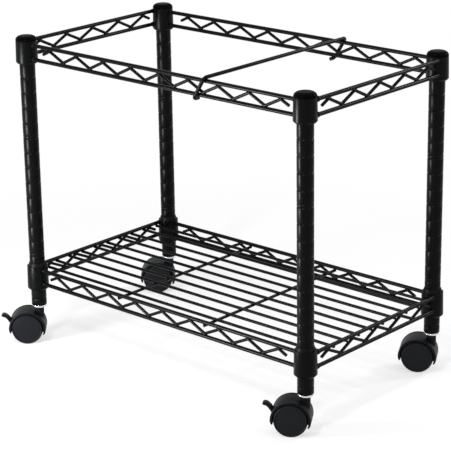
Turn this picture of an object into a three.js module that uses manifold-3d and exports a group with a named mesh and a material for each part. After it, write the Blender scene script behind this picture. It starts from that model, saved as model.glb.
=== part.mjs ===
// Mobile file cart: four grooved tube posts on hooded twin-wheel casters, an open top frame
// of welded wire rails that carries hanging files, a sliding cross rail that sets the file
// width, and a wire shelf below. Millimetres, +Z up, front towards -Y, long side along X.

import * as THREE from 'three';
import { mergeVertices } from 'three/addons/utils/BufferGeometryUtils.js';
import Module from 'manifold-3d';

// Clearances
const SEAT_GAP = 0.3;
const WELD_BITE = 0.6;

// Posts
const POST_SPAN_X = 580;
const POST_SPAN_Y = 318;
const POST_DIAMETER = 25.4;
const POST_WALL = 1.6;
const POST_LENGTH = 457.2;
const GROOVE_PITCH = 25.4;
const GROOVE_FIRST = 12;
const GROOVE_DEPTH = 0.8;
const GROOVE_WIDTH = 2.8;

// Collars, the split sleeves that they wedge on, and the post caps
const COLLAR_WALL = 2.5;
const COLLAR_HEIGHT = 41;
const COLLAR_CHAMFER = 2.6;
const COLLAR_FOOT_RIM = 0.2;
const SHELF_COLLAR_BELOW_SLEEVE = 7.3;
const TOP_COLLAR_BELOW_CAP = 1;
const SLEEVE_WALL = 2.2;
const SLEEVE_HEIGHT = 39.6;
const SLEEVE_CONE = 6;
const SLEEVE_RIB_ABOVE_FOOT = 27;
const SLEEVE_SLIT = 1.6;
const SHELF_GROOVE = 2;
const CAP_THICKNESS = 3;
const CAP_EDGE = 1.4;
const CAP_PLUG_LENGTH = 14;

// Wire rails of the top frame and the shelf
const RAIL_WIRE = 6;
const RAIL_HEIGHT = 23;
const LONG_RAIL_OUT = 2;
const SIDE_RAIL_INSIDE_COLLAR = 7.5;
const SIDE_RAIL_RISE = 1.4;
const TOP_RAIL_ABOVE_FOOT = 31.4;
const SHELF_RAIL_ABOVE_FOOT = 34;
const ZIGZAG_WIRE = 4.2;
const ZIGZAG_PITCH = 60;
const ZIGZAG_END_GAP = 18;
const TOP_ZIGZAG_SHIFT = 7;
const SHELF_ZIGZAG_SHIFT = 0;
const SIDE_ZIGZAG_SHIFT = 0;

// Wire deck of the shelf
const DECK_WIRE = 4;
const DECK_WIRE_PITCH = 30.2;
const DECK_BITE = 1.3;
const DECK_STUB = 1;
const CROSS_WIRE_OFFSET = 93;
const CROSS_WIRE_SHIFT = -3;

// Sliding cross rail
const CROSS_RAIL_X = 105;
const CROSS_RAIL_ROD = 6;
const HOOK_LEAN = 22;
const HOOK_TOE = 11;

// Casters
const CASTER_TRAIL = 21;
const WHEEL_DIAMETER = 52;
const WHEEL_WIDTH = 12.5;
const WHEEL_EDGE = 1.6;
const WHEEL_SKIN = 1.8;
const WHEEL_SIDE_GAP = 0.5;
const AXLE_DIAMETER = 6;
const HOOD_WEB = 14;
const HOOD_WALL = 3.4;
const HOOD_WHEEL_GAP = 1.6;
const HOOD_FRONT_ANGLE = -21;
const HOOD_REAR_ANGLE = 193;
const HOOD_HUB = 10;
const HOOD_RIM = 0.6;
const NECK_DIAMETER = 15;
const NECK_ABOVE_WHEEL = 8;
const NECK_TO_POST = 5.5;
const STEM_DIAMETER = 11;
const STEM_TENON = 8;
const STEM_TENON_DEPTH = 19;
const STEM_SHOULDER = 1.4;
const STEM_LENGTH = 33;
const SOCKET_LENGTH = 36;
const SOCKET_LIP = 3.5;

// Brake levers on the two front casters
const BRAKED_CORNERS = ['front_left', 'front_right'];
const LEVER_PIVOT_INSET = 7;
const LEVER_PIVOT_RISE = 4.5;
const LEVER_REACH = 19;
const LEVER_RISE = 15;
const LEVER_BOW = 3;
const LEVER_THICKNESS = 4.2;
const LEVER_WIDTH = 10.4;
const LEVER_KNUCKLE = 6;
const LEVER_HEADROOM = 4.5;

// Facets of round sections
const POST_SIDES = 10;
const COLLAR_SIDES = 16;
const WHEEL_SIDES = 16;
const BORE_SIDES = 12;
const ROD_SIDES = 8;
const WIRE_SIDES = 6;

const COLOURS = {
  powderCoat: { color: 0x141518, roughness: 0.38, metalness: 0.0 },
  capPlastic: { color: 0x1a1b1d, roughness: 0.45, metalness: 0.0 },
  sleevePlastic: { color: 0x202124, roughness: 0.5, metalness: 0.0 },
  hoodPlastic: { color: 0x2a2b2f, roughness: 0.42, metalness: 0.0 },
  wheelPlastic: { color: 0x26272b, roughness: 0.55, metalness: 0.0 },
  zinc: { color: 0xd2d5d8, roughness: 0.25, metalness: 1.0 },
};

const CORNERS = [
  { name: 'front_left', x: -POST_SPAN_X / 2, y: -POST_SPAN_Y / 2, heading: 43 },
  { name: 'front_right', x: POST_SPAN_X / 2, y: -POST_SPAN_Y / 2, heading: 33 },
  { name: 'back_left', x: -POST_SPAN_X / 2, y: POST_SPAN_Y / 2, heading: 42 },
  { name: 'back_right', x: POST_SPAN_X / 2, y: POST_SPAN_Y / 2, heading: 30 },
];

// Radii and levels that several pieces share
const POST_RADIUS = POST_DIAMETER / 2;
const POST_BORE = POST_RADIUS - POST_WALL;
const PLUG_RADIUS = POST_BORE * Math.cos(Math.PI / POST_SIDES) - SEAT_GAP;
const SLEEVE_BORE = POST_RADIUS + SEAT_GAP;
const SLEEVE_RADIUS = SLEEVE_BORE + SLEEVE_WALL;
const COLLAR_BORE = SLEEVE_RADIUS + SEAT_GAP;
const COLLAR_RADIUS = COLLAR_BORE + COLLAR_WALL;
const WIRE_RADIUS = RAIL_WIRE / 2;
const ZIGZAG_RADIUS = ZIGZAG_WIRE / 2;
const SIDE_RAIL_OUT = COLLAR_RADIUS - SIDE_RAIL_INSIDE_COLLAR;
const LONG_RAIL = { span: POST_SPAN_X, out: LONG_RAIL_OUT };
const SIDE_RAIL = { span: POST_SPAN_Y, out: SIDE_RAIL_OUT };
const RAIL_X = POST_SPAN_X / 2 + SIDE_RAIL_OUT;
const RAIL_Y = POST_SPAN_Y / 2 + LONG_RAIL_OUT;
const ZIGZAG_INSET = WIRE_RADIUS + ZIGZAG_RADIUS - 2 * WELD_BITE;
const ZIGZAG_HEIGHT = RAIL_HEIGHT - 2 * ZIGZAG_INSET;
const DECK_RADIUS = DECK_WIRE / 2;
const WHEEL_RADIUS = WHEEL_DIAMETER / 2;
const WHEEL_INNER_FACE = HOOD_WEB / 2 + WHEEL_SIDE_GAP;
const WHEEL_OUTER_FACE = WHEEL_INNER_FACE + WHEEL_WIDTH;
const AXLE_RADIUS = AXLE_DIAMETER / 2;
const HOOD_BORE = WHEEL_RADIUS + HOOD_WHEEL_GAP;
const HOOD_RADIUS = HOOD_BORE + HOOD_WALL;
const HOOD_HALF_WIDTH = WHEEL_OUTER_FACE - HOOD_RIM;
const NECK_TOP = WHEEL_DIAMETER + NECK_ABOVE_WHEEL;
const LEVER_PIVOT = { x: LEVER_PIVOT_INSET - HOOD_RADIUS, z: LEVER_PIVOT_RISE };
const POST_BOTTOM = NECK_TOP + NECK_TO_POST;
const POST_TOP = POST_BOTTOM + POST_LENGTH;
const CAP_FOOT = POST_TOP + SEAT_GAP;
const TOP_COLLAR_BOTTOM = CAP_FOOT - TOP_COLLAR_BELOW_CAP - COLLAR_HEIGHT;
const SHELF_COLLAR_BOTTOM = sleeveFoot(SHELF_GROOVE) - SHELF_COLLAR_BELOW_SLEEVE;

const wasm = await Module();
wasm.setup();

// Turns a closed geometry into a solid, with its faces pointing out.
function solidOf(geometry) {
  const bare = geometry.clone();
  bare.deleteAttribute('normal');
  bare.deleteAttribute('uv');
  const merged = mergeVertices(bare, 1e-4);
  const position = merged.attributes.position.array;
  const index = Array.from(merged.index.array);
  const corners = [];
  for (let i = 0; i < index.length; i += 3) {
    const [a, b, c] = [index[i], index[i + 1], index[i + 2]];
    if (a !== b && b !== c && c !== a) corners.push(a, b, c);
  }
  if (signedVolume(position, corners) < 0) corners.reverse();
  const mesh = new wasm.Mesh({
    numProp: 3,
    vertProperties: new Float32Array(position),
    triVerts: new Uint32Array(corners),
  });
  return new wasm.Manifold(mesh);
}

function signedVolume(position, corners) {
  const point = (i) => new THREE.Vector3().fromArray(position, 3 * i);
  let total = 0;
  for (let i = 0; i < corners.length; i += 3) {
    const a = point(corners[i]);
    total += a.dot(point(corners[i + 1]).cross(point(corners[i + 2]))) / 6;
  }
  return total;
}

function geometryOf(solid) {
  const mesh = solid.getMesh();
  const geometry = new THREE.BufferGeometry();
  geometry.setAttribute('position', new THREE.BufferAttribute(mesh.vertProperties, 3));
  geometry.setIndex(new THREE.BufferAttribute(mesh.triVerts, 1));
  geometry.computeVertexNormals();
  return geometry;
}

function union(geometries) {
  return geometries.map(solidOf).reduce((joined, next) => joined.add(next));
}

function piece(name, solid, finish) {
  const mesh = new THREE.Mesh(geometryOf(solid), new THREE.MeshStandardMaterial(finish));
  mesh.name = name;
  return mesh;
}

// A solid of revolution about +Z from [radius, height] points, closed back to the first one.
function turned(profile, sides) {
  const points = [...profile, profile[0]].map(([r, z]) => new THREE.Vector2(r, z));
  return new THREE.LatheGeometry(points, sides).rotateX(Math.PI / 2);
}

// A straight round rod between two points.
function rod(from, to, radius, sides) {
  const start = new THREE.Vector3(...from);
  const run = new THREE.Vector3(...to).sub(start);
  const geometry = new THREE.CylinderGeometry(radius, radius, run.length(), sides);
  const turn = new THREE.Quaternion().setFromUnitVectors(
    new THREE.Vector3(0, 1, 0), run.clone().normalize());
  geometry.applyQuaternion(turn);
  const middle = start.addScaledVector(run, 0.5);
  return geometry.translate(middle.x, middle.y, middle.z);
}

// A plate cut to a shape drawn in the X-Z plane, its thickness centred on Y = 0.
function plate(shape, width, curveSegments) {
  const options = { depth: width, bevelEnabled: false, curveSegments };
  const geometry = new THREE.ExtrudeGeometry(shape, options);
  return geometry.translate(0, 0, -width / 2).rotateX(Math.PI / 2);
}

function block(sizeX, sizeY, sizeZ, x, y, z) {
  return new THREE.BoxGeometry(sizeX, sizeY, sizeZ).translate(x, y, z);
}

// The bent wire of a rail: even slanting legs along X, with a half leg free at each end.
// Its even parameter steps fall on the ends and the bends.
class ZigzagCurve extends THREE.Curve {
  constructor(peaks, pitch, height) {
    super();
    this.steps = 2 * peaks;
    this.firstPeak = -(peaks - 1) * pitch / 2;
    this.pitch = pitch;
    this.height = height;
  }

  getUtoTmapping(u) {
    return u;
  }

  getPoint(t, target = new THREE.Vector3()) {
    const lastBend = this.steps - 2;
    const step = t * this.steps - 1;
    const past = step < 0 ? step : Math.max(step - lastBend, 0);
    const legs = step - past / 2;
    const fall = Math.abs(legs - 2 * Math.round(legs / 2));
    return target.set(this.firstPeak + legs * this.pitch / 2, 0, -fall * this.height);
  }
}

function bentWire(curve, radius) {
  const section = new THREE.Shape().absarc(0, 0, radius, 0, 2 * Math.PI, false);
  const options = { steps: curve.steps, curveSegments: WIRE_SIDES / 2, extrudePath: curve };
  return new THREE.ExtrudeGeometry(section, options);
}

// Posts, caps, collars and sleeves
function grooveHeight(number) {
  return GROOVE_FIRST + number * GROOVE_PITCH;
}

function sleeveFoot(groove) {
  return POST_BOTTOM + grooveHeight(groove) - SLEEVE_RIB_ABOVE_FOOT;
}

// The highest groove that keeps a whole sleeve on the post.
function topGroove() {
  const sleeveAboveRib = SLEEVE_HEIGHT - SLEEVE_RIB_ABOVE_FOOT;
  return Math.floor((POST_LENGTH - GROOVE_FIRST - sleeveAboveRib) / GROOVE_PITCH);
}

function post() {
  const outline = [[POST_BORE, 0], [POST_RADIUS, 0]];
  for (let number = 0; grooveHeight(number) + GROOVE_WIDTH < POST_LENGTH; number += 1) {
    const z = grooveHeight(number);
    outline.push([POST_RADIUS, z - GROOVE_WIDTH / 2]);
    outline.push([POST_RADIUS - GROOVE_DEPTH, z]);
    outline.push([POST_RADIUS, z + GROOVE_WIDTH / 2]);
  }
  outline.push([POST_RADIUS, POST_LENGTH], [POST_BORE, POST_LENGTH]);
  return solidOf(turned(outline, POST_SIDES));
}

function postCap() {
  return solidOf(turned([
    [0, -CAP_PLUG_LENGTH],
    [PLUG_RADIUS, -CAP_PLUG_LENGTH],
    [PLUG_RADIUS, 0],
    [COLLAR_RADIUS, 0],
    [COLLAR_RADIUS, CAP_THICKNESS - CAP_EDGE],
    [COLLAR_RADIUS - CAP_EDGE, CAP_THICKNESS],
    [0, CAP_THICKNESS],
  ], COLLAR_SIDES));
}

function collar() {
  return solidOf(turned([
    [COLLAR_BORE, 0],
    [COLLAR_BORE + COLLAR_FOOT_RIM, 0],
    [COLLAR_RADIUS, COLLAR_CHAMFER],
    [COLLAR_RADIUS, COLLAR_HEIGHT],
    [COLLAR_BORE, COLLAR_HEIGHT],
  ], COLLAR_SIDES));
}

// The sleeve snaps round the post, with a rib in one of its grooves and a slit at the back.
function splitSleeve() {
  const ribHalf = GROOVE_WIDTH / 2 - SEAT_GAP;
  const ribRadius = POST_RADIUS - GROOVE_DEPTH + 2 * SEAT_GAP;
  const ring = solidOf(turned([
    [SLEEVE_BORE, 0],
    [SLEEVE_RADIUS, 0],
    [SLEEVE_RADIUS, SLEEVE_HEIGHT - SLEEVE_CONE],
    [SLEEVE_BORE + SLEEVE_WALL / 4, SLEEVE_HEIGHT],
    [SLEEVE_BORE, SLEEVE_HEIGHT],
    [SLEEVE_BORE, SLEEVE_RIB_ABOVE_FOOT + ribHalf],
    [ribRadius, SLEEVE_RIB_ABOVE_FOOT],
    [SLEEVE_BORE, SLEEVE_RIB_ABOVE_FOOT - ribHalf],
  ], COLLAR_SIDES));
  const slit = block(2 * SLEEVE_RADIUS, SLEEVE_SLIT, 3 * SLEEVE_HEIGHT, SLEEVE_RADIUS, 0, 0);
  return ring.subtract(solidOf(slit));
}

function stemSocket() {
  const bore = STEM_DIAMETER / 2 + SEAT_GAP;
  return solidOf(turned([
    [bore, -SOCKET_LIP],
    [PLUG_RADIUS, -SOCKET_LIP],
    [PLUG_RADIUS, SOCKET_LENGTH],
    [bore, SOCKET_LENGTH],
  ], COLLAR_SIDES));
}

function addCorner(cart, { name, x, y }) {
  const corner = new THREE.Group();
  corner.position.set(x, y, 0);
  const add = (label, solid, finish, z) => {
    const mesh = piece(`${label}_${name}`, solid, finish);
    mesh.position.z = z;
    corner.add(mesh);
  };
  add('post', post(), COLOURS.powderCoat, POST_BOTTOM);
  add('post_cap', postCap(), COLOURS.capPlastic, CAP_FOOT);
  add('top_collar', collar(), COLOURS.powderCoat, TOP_COLLAR_BOTTOM);
  add('shelf_collar', collar(), COLOURS.powderCoat, SHELF_COLLAR_BOTTOM);
  add('top_sleeve', splitSleeve(), COLOURS.sleevePlastic, sleeveFoot(topGroove()));
  add('shelf_sleeve', splitSleeve(), COLOURS.sleevePlastic, sleeveFoot(SHELF_GROOVE));
  add('stem_socket', stemSocket(), COLOURS.zinc, POST_BOTTOM);
  cart.add(corner);
}

// Wire rails: an upper and a lower wire with a zigzag wire between them. They run outside the
// middle of the posts, and their ends are cut to lie against the round collars.
function railReach({ span, out }) {
  return span / 2 - Math.sqrt(COLLAR_RADIUS ** 2 - out ** 2) - SEAT_GAP;
}

function railWire({ span, out }, level) {
  const across = out / COLLAR_RADIUS;
  const along = Math.sqrt(1 - across ** 2);
  const seat = COLLAR_RADIUS + SEAT_GAP - along * span / 2 - across * out;
  const wire = solidOf(rod([-span / 2, 0, level], [span / 2, 0, level], WIRE_RADIUS, ROD_SIDES));
  return wire.trimByPlane([-along, -across, 0], seat).trimByPlane([along, -across, 0], seat);
}

function zigzagPeaks(rail, shift) {
  const room = railReach(rail) - Math.abs(shift) - ZIGZAG_END_GAP;
  return Math.floor(2 * room / ZIGZAG_PITCH) + 1;
}

function railPanel(rail, shift) {
  const curve = new ZigzagCurve(zigzagPeaks(rail, shift), ZIGZAG_PITCH, ZIGZAG_HEIGHT);
  const zigzag = bentWire(curve, ZIGZAG_RADIUS).translate(shift, 0, -ZIGZAG_INSET);
  return railWire(rail, 0).add(railWire(rail, -RAIL_HEIGHT)).add(solidOf(zigzag));
}

function addRails(cart, label, upperWire, longShift) {
  const sideWire = upperWire + SIDE_RAIL_RISE;
  const sides = [
    { name: 'front', rail: LONG_RAIL, shift: longShift, place: [0, -RAIL_Y, upperWire], turn: 0 },
    { name: 'back', rail: LONG_RAIL, shift: -longShift, place: [0, RAIL_Y, upperWire], turn: 180 },
    { name: 'left', rail: SIDE_RAIL, shift: -SIDE_ZIGZAG_SHIFT, place: [-RAIL_X, 0, sideWire], turn: -90 },
    { name: 'right', rail: SIDE_RAIL, shift: SIDE_ZIGZAG_SHIFT, place: [RAIL_X, 0, sideWire], turn: 90 },
  ];
  for (const { name, rail, shift, place, turn } of sides) {
    const panel = piece(`${label}_${name}`, railPanel(rail, shift), COLOURS.powderCoat);
    panel.position.set(...place);
    panel.rotation.z = THREE.MathUtils.degToRad(turn);
    cart.add(panel);
  }
}

// How far a deck wire runs out past the middle of the rail that it passes under: a stub where
// it goes between the legs of the rail's zigzag, and short of the zigzag elsewhere.
function deckStub(along, rail, shift) {
  const halfRun = (zigzagPeaks(rail, shift) - 1) * ZIGZAG_PITCH / 2;
  const fall = WIRE_RADIUS + SEAT_GAP + DECK_WIRE + ZIGZAG_RADIUS - ZIGZAG_INSET;
  const legRoom = fall / ZIGZAG_HEIGHT * ZIGZAG_PITCH / 2 + DECK_RADIUS + SEAT_GAP;
  const pastPeak = Math.abs(along - shift + halfRun) % ZIGZAG_PITCH;
  const toPeak = Math.min(pastPeak, ZIGZAG_PITCH - pastPeak);
  const isBetweenLegs = Math.abs(along - shift) < halfRun && toPeak > legRoom;
  return isBetweenLegs ? DECK_STUB : -ZIGZAG_RADIUS - SEAT_GAP;
}

// The deck is two cross wires under the long rails' upper wires, and long wires on top of them
// that are notched where they are welded under the side rails' upper wires.
function shelfDeck(upperWire) {
  const crossLevel = upperWire - WIRE_RADIUS - SEAT_GAP - DECK_RADIUS;
  const deckLevel = crossLevel + DECK_WIRE - DECK_BITE;
  const wires = [];
  for (const side of [-1, 1]) {
    const x = CROSS_WIRE_SHIFT + side * CROSS_WIRE_OFFSET;
    const reach = RAIL_Y + deckStub(x, LONG_RAIL, SHELF_ZIGZAG_SHIFT);
    wires.push(rod([x, -reach, crossLevel], [x, reach, crossLevel], DECK_RADIUS, WIRE_SIDES));
  }
  const room = POST_SPAN_Y / 2 - COLLAR_RADIUS - DECK_RADIUS - SEAT_GAP;
  const gaps = Math.floor(2 * room / DECK_WIRE_PITCH);
  for (let i = 0; i <= gaps; i += 1) {
    const y = (i - gaps / 2) * DECK_WIRE_PITCH;
    const reach = RAIL_X + deckStub(y, SIDE_RAIL, SIDE_ZIGZAG_SHIFT);
    wires.push(rod([-reach, y, deckLevel], [reach, y, deckLevel], DECK_RADIUS, WIRE_SIDES));
  }
  const sideWire = upperWire + SIDE_RAIL_RISE;
  const seats = [-RAIL_X, RAIL_X].map((x) => solidOf(rod([x, -POST_SPAN_Y / 2, sideWire],
    [x, POST_SPAN_Y / 2, sideWire], WIRE_RADIUS + SEAT_GAP, ROD_SIDES)));
  return seats.reduce((deck, seat) => deck.subtract(seat), union(wires));
}

// The cross rail is one rod that lies on the long rails. Each end leans down outside the rail
// and turns in under its lower wire, so that the rod slides along X and can't lift off.
function crossRail() {
  const radius = CROSS_RAIL_ROD / 2;
  const level = WIRE_RADIUS + SEAT_GAP + radius;
  const outside = RAIL_Y + level;
  const footLevel = -RAIL_HEIGHT - level;
  const parts = [rod([0, -outside, level], [0, outside, level], radius, ROD_SIDES)];
  for (const end of [-1, 1]) {
    const shoulder = [0, end * outside, level];
    const foot = [-HOOK_LEAN, end * outside, footLevel];
    const toe = [-HOOK_LEAN, end * (outside - HOOK_TOE), footLevel];
    parts.push(rod(shoulder, foot, radius, ROD_SIDES), rod(foot, toe, radius, ROD_SIDES));
    for (const bend of [shoulder, foot]) {
      const ball = new THREE.SphereGeometry(radius, ROD_SIDES, ROD_SIDES / 2);
      parts.push(ball.translate(...bend));
    }
  }
  return union(parts);
}

// Casters, drawn with the swivel axis at x = 0 and the wheels trailing towards -X
function hoodShell() {
  const front = THREE.MathUtils.degToRad(HOOD_FRONT_ANGLE);
  const rear = THREE.MathUtils.degToRad(HOOD_REAR_ANGLE);
  const crown = new THREE.Shape().absarc(0, 0, HOOD_RADIUS, front, rear, false);
  crown.absarc(0, 0, HOOD_BORE, rear, front, true);
  const web = new THREE.Shape().absarc(0, 0, HOOD_BORE + HOOD_WALL / 2, front, rear, false);
  web.lineTo(-HOOD_HUB, -HOOD_HUB);
  web.lineTo(HOOD_HUB, -HOOD_HUB);
  return [
    plate(crown, 2 * HOOD_HALF_WIDTH, COLLAR_SIDES / 2),
    plate(web, HOOD_WEB, COLLAR_SIDES / 2),
  ].map((geometry) => geometry.translate(-CASTER_TRAIL, 0, WHEEL_RADIUS));
}

function casterHood(braked) {
  const across = HOOD_HALF_WIDTH + WHEEL_WIDTH;
  const wheelSpace = solidOf(
    rod([-CASTER_TRAIL, -across, WHEEL_RADIUS], [-CASTER_TRAIL, across, WHEEL_RADIUS],
      HOOD_BORE, COLLAR_SIDES));
  const neck = solidOf(rod([0, 0, WHEEL_RADIUS], [0, 0, NECK_TOP], NECK_DIAMETER / 2, COLLAR_SIDES));
  const [crown, web] = hoodShell().map(solidOf);
  const tenonBore = rod([0, 0, NECK_TOP - STEM_TENON_DEPTH - SEAT_GAP], [0, 0, 2 * NECK_TOP],
    STEM_TENON / 2 + SEAT_GAP, BORE_SIDES);
  const axleBore = rod([-CASTER_TRAIL, -across, WHEEL_RADIUS], [-CASTER_TRAIL, across, WHEEL_RADIUS],
    AXLE_RADIUS + SEAT_GAP, BORE_SIDES);
  let hood = neck.subtract(wheelSpace).add(crown).add(web);
  hood = hood.subtract(solidOf(tenonBore)).subtract(solidOf(axleBore));
  return braked ? hood.subtract(solidOf(leverPocket())) : hood;
}

// The pocket that the brake lever swings in, open through the rear of the hood.
function leverPocket() {
  const knuckle = LEVER_KNUCKLE / 2 + SEAT_GAP;
  const inner = LEVER_PIVOT.x + knuckle;
  const outer = -HOOD_RADIUS - HOOD_WALL;
  const floor = LEVER_PIVOT.z - knuckle;
  const leverAtWall = LEVER_PIVOT.z + LEVER_PIVOT_INSET * LEVER_RISE / LEVER_REACH;
  const roof = leverAtWall + LEVER_BOW + LEVER_HEADROOM;
  const width = LEVER_WIDTH + 2 * SEAT_GAP;
  return block(inner - outer, width, roof - floor, (inner + outer) / 2 - CASTER_TRAIL, 0,
    (roof + floor) / 2 + WHEEL_RADIUS);
}

function brakeLever() {
  const half = LEVER_THICKNESS / 2;
  const along = new THREE.Vector2(-LEVER_REACH, LEVER_RISE);
  const up = new THREE.Vector2(along.y, -along.x).normalize();
  const pedal = new THREE.Shape();
  pedal.moveTo(-up.x * half, -up.y * half);
  const belly = along.clone().multiplyScalar(0.5).addScaledVector(up, LEVER_BOW - half);
  pedal.quadraticCurveTo(belly.x, belly.y, along.x - up.x * half, along.y - up.y * half);
  pedal.lineTo(along.x + up.x * half, along.y + up.y * half);
  const back = along.clone().multiplyScalar(0.5).addScaledVector(up, LEVER_BOW + half);
  pedal.quadraticCurveTo(back.x, back.y, up.x * half, up.y * half);
  const knuckle = rod([0, -LEVER_WIDTH / 2, 0], [0, LEVER_WIDTH / 2, 0], LEVER_KNUCKLE / 2, ROD_SIDES);
  return union([plate(pedal, LEVER_WIDTH, WIRE_SIDES), knuckle]);
}

function casterStem() {
  const foot = NECK_TOP - STEM_TENON_DEPTH;
  const shoulder = NECK_TOP + SEAT_GAP;
  const top = POST_BOTTOM + STEM_LENGTH;
  return solidOf(turned([
    [0, foot],
    [STEM_TENON / 2, foot],
    [STEM_TENON / 2, shoulder],
    [NECK_DIAMETER / 2, shoulder],
    [NECK_DIAMETER / 2, shoulder + STEM_SHOULDER],
    [STEM_DIAMETER / 2, shoulder + STEM_SHOULDER],
    [STEM_DIAMETER / 2, top - STEM_SHOULDER],
    [STEM_DIAMETER / 2 - STEM_SHOULDER, top],
    [0, top],
  ], POST_SIDES));
}

// A wheel cup on its axis: a closed outer face, a rounded tread and a blind bore.
function wheel() {
  const bore = AXLE_RADIUS + SEAT_GAP;
  return solidOf(turned([
    [0, WHEEL_OUTER_FACE],
    [WHEEL_RADIUS - WHEEL_EDGE, WHEEL_OUTER_FACE],
    [WHEEL_RADIUS, WHEEL_OUTER_FACE - WHEEL_EDGE],
    [WHEEL_RADIUS, WHEEL_INNER_FACE + WHEEL_EDGE],
    [WHEEL_RADIUS - WHEEL_EDGE, WHEEL_INNER_FACE],
    [bore, WHEEL_INNER_FACE],
    [bore, WHEEL_OUTER_FACE - WHEEL_SKIN],
    [0, WHEEL_OUTER_FACE - WHEEL_SKIN],
  ], WHEEL_SIDES));
}

function addCaster(cart, { name, x, y, heading }) {
  const caster = new THREE.Group();
  caster.position.set(x, y, 0);
  caster.rotation.z = THREE.MathUtils.degToRad(heading);
  const braked = BRAKED_CORNERS.includes(name);
  caster.add(piece(`caster_hood_${name}`, casterHood(braked), COLOURS.hoodPlastic));
  caster.add(piece(`caster_stem_${name}`, casterStem(), COLOURS.zinc));

  const axleReach = WHEEL_OUTER_FACE - WHEEL_SKIN - SEAT_GAP;
  const axle = solidOf(rod([0, -axleReach, 0], [0, axleReach, 0], AXLE_RADIUS, POST_SIDES));
  const carried = [piece(`caster_axle_${name}`, axle, COLOURS.zinc)];
  for (const [side, turn] of [['outer', 90], ['inner', -90]]) {
    const disc = piece(`caster_wheel_${side}_${name}`, wheel(), COLOURS.wheelPlastic);
    disc.rotation.x = THREE.MathUtils.degToRad(turn);
    carried.push(disc);
  }
  for (const mesh of carried) {
    mesh.position.set(-CASTER_TRAIL, 0, WHEEL_RADIUS);
    caster.add(mesh);
  }
  if (braked) {
    const lever = piece(`brake_lever_${name}`, brakeLever(), COLOURS.wheelPlastic);
    lever.position.set(LEVER_PIVOT.x - CASTER_TRAIL, 0, LEVER_PIVOT.z + WHEEL_RADIUS);
    caster.add(lever);
  }
  cart.add(caster);
}

function fileCart() {
  const cart = new THREE.Group();
  const shelfUpperWire = SHELF_COLLAR_BOTTOM + SHELF_RAIL_ABOVE_FOOT;
  const topUpperWire = TOP_COLLAR_BOTTOM + TOP_RAIL_ABOVE_FOOT;
  for (const corner of CORNERS) {
    addCorner(cart, corner);
    addCaster(cart, corner);
  }
  addRails(cart, 'top_rail', topUpperWire, TOP_ZIGZAG_SHIFT);
  addRails(cart, 'shelf_rail', shelfUpperWire, SHELF_ZIGZAG_SHIFT);
  cart.add(piece('shelf_deck', shelfDeck(shelfUpperWire), COLOURS.powderCoat));
  const slider = piece('cross_rail', crossRail(), COLOURS.powderCoat);
  slider.position.set(CROSS_RAIL_X, 0, topUpperWire);
  cart.add(slider);
  return cart;
}

// The origin is at floor level, in the middle of the cart's outline with its casters trailing.
const cart = fileCart();
const outline = new THREE.Box3().setFromObject(cart, true);
const middle = outline.getCenter(new THREE.Vector3());
cart.position.set(-middle.x, -middle.y, -outline.min.z);

export default cart;
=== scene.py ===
"""Looks of a mobile file cart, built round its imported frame.

Four grooved tube posts stand on hooded twin-wheel casters. Wire rails join them at the top and at
the shelf, a wire deck fills the shelf, and a cross rail slides along the top. Sizes are in
millimetres and become metres when a mesh is made. The front faces -Y, the long side is along X.
"""

import logging
import math
from dataclasses import dataclass, field
from enum import Enum
from typing import Any, Callable, Iterable, Sequence

import bmesh
import bpy
from mathutils import Matrix, Vector

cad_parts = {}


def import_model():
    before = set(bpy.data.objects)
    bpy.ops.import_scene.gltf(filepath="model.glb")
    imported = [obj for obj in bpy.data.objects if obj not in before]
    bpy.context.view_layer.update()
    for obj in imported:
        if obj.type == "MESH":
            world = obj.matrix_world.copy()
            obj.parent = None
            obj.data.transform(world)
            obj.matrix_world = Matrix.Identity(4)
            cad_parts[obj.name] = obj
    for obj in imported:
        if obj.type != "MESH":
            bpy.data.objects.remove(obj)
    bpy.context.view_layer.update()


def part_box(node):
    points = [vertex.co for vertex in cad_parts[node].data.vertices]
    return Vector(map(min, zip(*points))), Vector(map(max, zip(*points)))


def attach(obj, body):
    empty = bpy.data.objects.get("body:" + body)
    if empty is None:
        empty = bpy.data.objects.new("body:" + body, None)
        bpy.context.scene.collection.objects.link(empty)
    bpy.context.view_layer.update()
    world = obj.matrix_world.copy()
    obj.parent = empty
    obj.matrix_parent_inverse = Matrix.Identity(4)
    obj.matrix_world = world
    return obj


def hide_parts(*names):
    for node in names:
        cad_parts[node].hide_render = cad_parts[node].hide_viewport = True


log = logging.getLogger("file_cart")

MM = 0.001
WHITE = "#ffffff"

Pair = tuple[float, float]
Triple = tuple[float, float, float]
Profile = list[Pair]


class Corner(Enum):
    """A corner of the cart: its name, and the way its caster points, in degrees from +X."""

    FRONT_LEFT = ("front_left", 43)
    FRONT_RIGHT = ("front_right", 33)
    BACK_LEFT = ("back_left", 42)
    BACK_RIGHT = ("back_right", 30)

    @property
    def label(self) -> str:
        """The corner's name in the CAD nodes."""
        return self.value[0]

    @property
    def heading(self) -> float:
        """The way that the caster points, in radians from +X."""
        return math.radians(self.value[1])

    @property
    def braked(self) -> bool:
        """True where the caster carries a brake lever."""
        return self in (Corner.FRONT_LEFT, Corner.FRONT_RIGHT)


class Side(Enum):
    """A side of the cart: its name, and how far its rail is turned from the front, in degrees."""

    FRONT = ("front", 0)
    BACK = ("back", 180)
    LEFT = ("left", -90)
    RIGHT = ("right", 90)

    @property
    def label(self) -> str:
        """The side's name in the CAD nodes."""
        return self.value[0]

    @property
    def turn(self) -> float:
        """The rail's turn about Z, in radians."""
        return math.radians(self.value[1])

    @property
    def is_long(self) -> bool:
        """True for the two sides along X."""
        return self in (Side.FRONT, Side.BACK)


@dataclass(frozen=True)
class Level:
    """The heights of one wire frame and of the collars and sleeves that hold it on the posts.

    The zigzags of its long rails stand zigzag_shift towards +X from the middle.
    """

    name: str
    upper_wire: float
    zigzag_shift: float
    collar_foot: float
    collar_height: float
    sleeve_foot: float


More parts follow.
